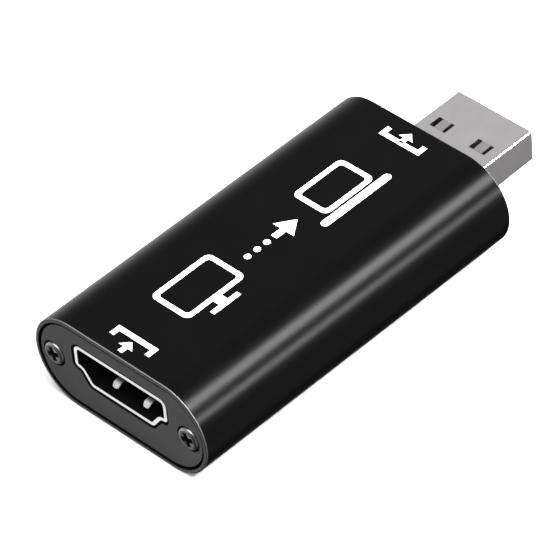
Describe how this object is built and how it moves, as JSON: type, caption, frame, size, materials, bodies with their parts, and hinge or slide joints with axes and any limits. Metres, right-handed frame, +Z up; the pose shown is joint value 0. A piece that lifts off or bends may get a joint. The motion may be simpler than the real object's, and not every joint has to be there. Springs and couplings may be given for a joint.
{
  "type": "video capture dongle",
  "caption": "Oval black aluminium video capture dongle with a screwed end plate at each end, a wide video socket at one end and a flat computer plug at the other.",
  "frame": {"origin": "on the resting plane, under the middle of the whole length from the socket end's rim to the plug's tip, on the centre line", "axes": "+X along the length from the video socket to the plug, +Y across the width, to the left when looking along +X, +Z up through the printed face"},
  "size_m": [0.0639, 0.028, 0.0128],
  "materials": {
    "black_anodised_aluminium": "satin black anodised extrusion",
    "dark_anodised_plate": "matte dark grey anodised sheet",
    "blackened_steel": "dark oxide steel, bright at worn edges",
    "nickel_plated_steel": "bright nickel plated sheet",
    "stainless_sheet": "fine satin stainless sheet",
    "black_connector_plastic": "moulded glass-filled plastic",
    "gold_plated_contact": "gold plated copper alloy",
    "green_board": "green solder mask over glass laminate",
    "chip_moulding": "matte black chip moulding",
    "tinned_lead": "tin plated leads and end caps",
    "solder": "smooth solder",
    "tan_ceramic": "tan fired ceramic",
    "grey_ceramic": "dark fired ceramic",
    "yellow_moulding": "yellow capacitor moulding",
    "white_ink": "thin white printing ink"
  },
  "bodies": {
    "root": {"housing_shell": "black_anodised_aluminium", "input_end_plate": "dark_anodised_plate", "output_end_plate": "dark_anodised_plate", "input_end_screws": "blackened_steel", "output_end_screws": "blackened_steel", "socket_shell": "nickel_plated_steel", "plug_shell": "stainless_sheet", "socket_insulator": "black_connector_plastic", "plug_insulator": "black_connector_plastic", "socket_upper_contacts": "gold_plated_contact", "socket_lower_contacts": "gold_plated_contact", "plug_contacts": "gold_plated_contact", "circuit_board": "green_board", "capture_chip_body": "chip_moulding", "memory_chip_body": "chip_moulding", "regulator_body": "chip_moulding", "protection_array_bodies": "chip_moulding", "chip_resistor_bodies": "chip_moulding", "capture_chip_leads": "tinned_lead", "memory_chip_leads": "tinned_lead", "regulator_leads": "tinned_lead", "protection_array_pads": "tinned_lead", "chip_resistor_ends": "tinned_lead", "chip_capacitor_ends": "tinned_lead", "ferrite_bead_ends": "tinned_lead", "supply_capacitor_terminals": "tinned_lead", "crystal_lid": "tinned_lead", "leg_solder_joints": "solder", "chip_capacitor_bodies": "tan_ceramic", "crystal_base": "grey_ceramic", "ferrite_bead_bodies": "grey_ceramic", "supply_capacitor_bodies": "yellow_moulding", "printed_marks": "white_ink"}
  },
  "joints": []
}
